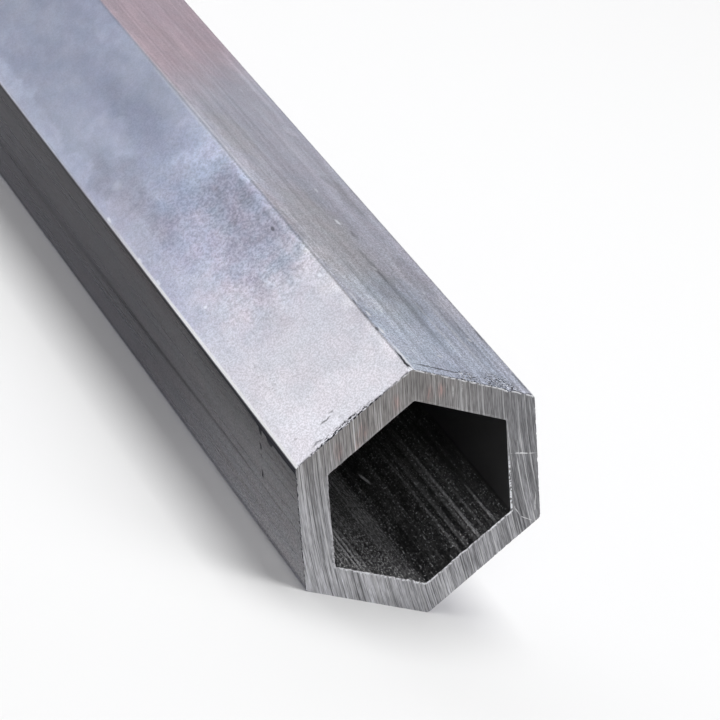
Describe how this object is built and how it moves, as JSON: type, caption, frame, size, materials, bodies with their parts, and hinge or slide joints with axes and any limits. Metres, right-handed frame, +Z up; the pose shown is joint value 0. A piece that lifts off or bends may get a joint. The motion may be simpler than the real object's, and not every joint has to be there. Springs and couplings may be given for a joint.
{
  "type": "hexagonal tube",
  "caption": "Straight length of hexagonal tube with a hexagonal bore, sawn off square at each end.",
  "frame": {"origin": "on the floor under the middle of the tube's length, at the middle of the flat it rests on", "axes": "+X along the tube, towards the sawn end in the picture; +Z up, out of the top flat; +Y across it"},
  "size_m": [0.5, 0.0458, 0.04],
  "materials": {
    "mill_aluminium": "mill finish, as extruded, with sawn ends"
  },
  "bodies": {
    "root": {"hex_tube": "mill_aluminium"}
  },
  "joints": []
}
